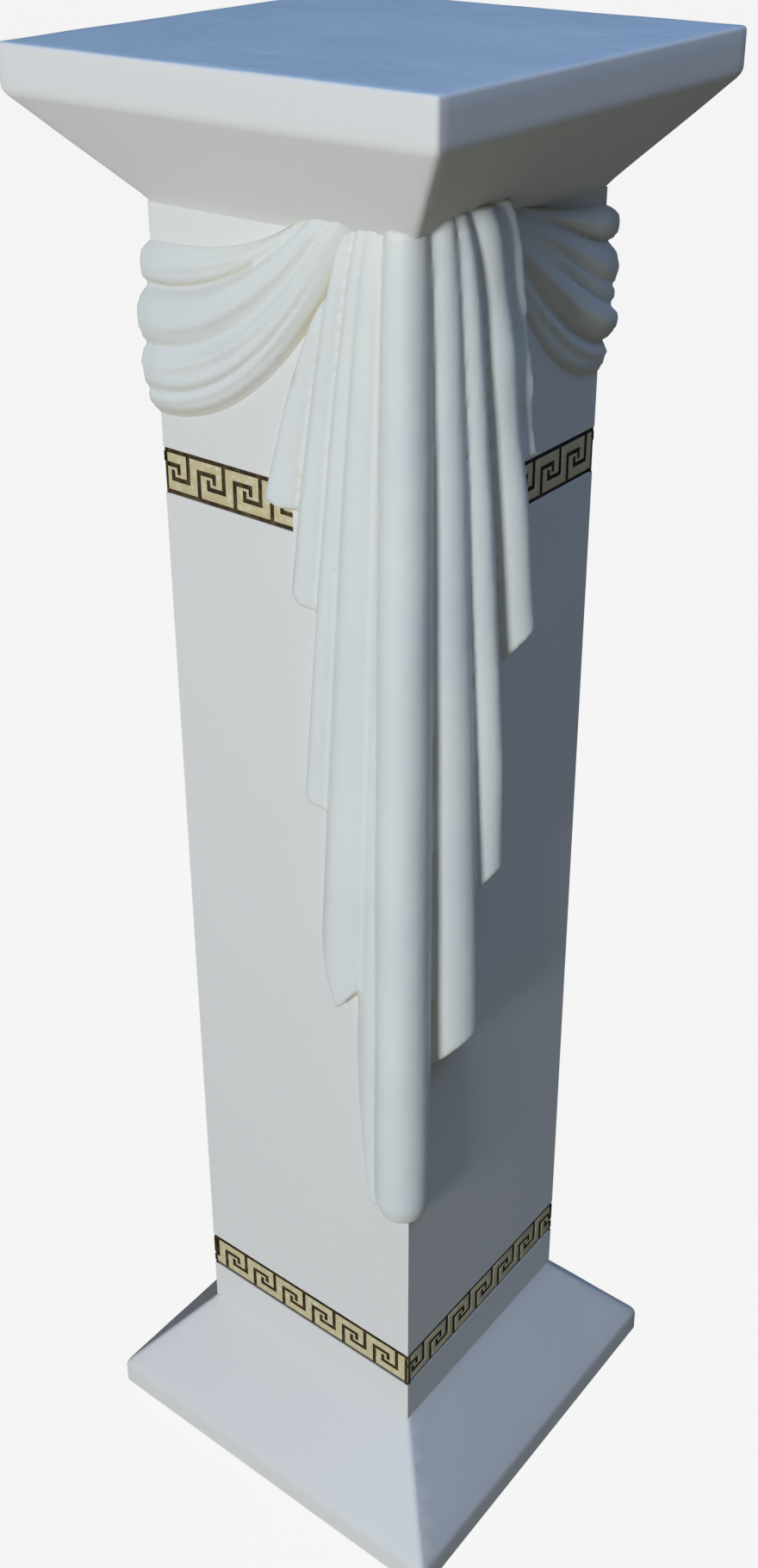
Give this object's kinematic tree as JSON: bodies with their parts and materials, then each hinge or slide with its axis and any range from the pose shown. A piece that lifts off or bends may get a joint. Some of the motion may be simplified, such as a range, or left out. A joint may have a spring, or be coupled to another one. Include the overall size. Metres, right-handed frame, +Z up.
{
  "type": "decorative column",
  "caption": "Square pedestal column with a flat top plate, carved drapery hanging from the capital, key-pattern bands and a sloped plinth.",
  "frame": {"origin": "middle of the underside of the plinth", "axes": "+Z up; the faces are square to X and Y, and the front corner with the fall of pleats is at +X -Y"},
  "size_m": [0.346, 0.346, 1.2],
  "materials": {
    "painted_plaster": "matte",
    "dark_wash": "matte",
    "old_gold": "satin"
  },
  "bodies": {
    "root": {"column": "painted_plaster"}
  },
  "joints": []
}
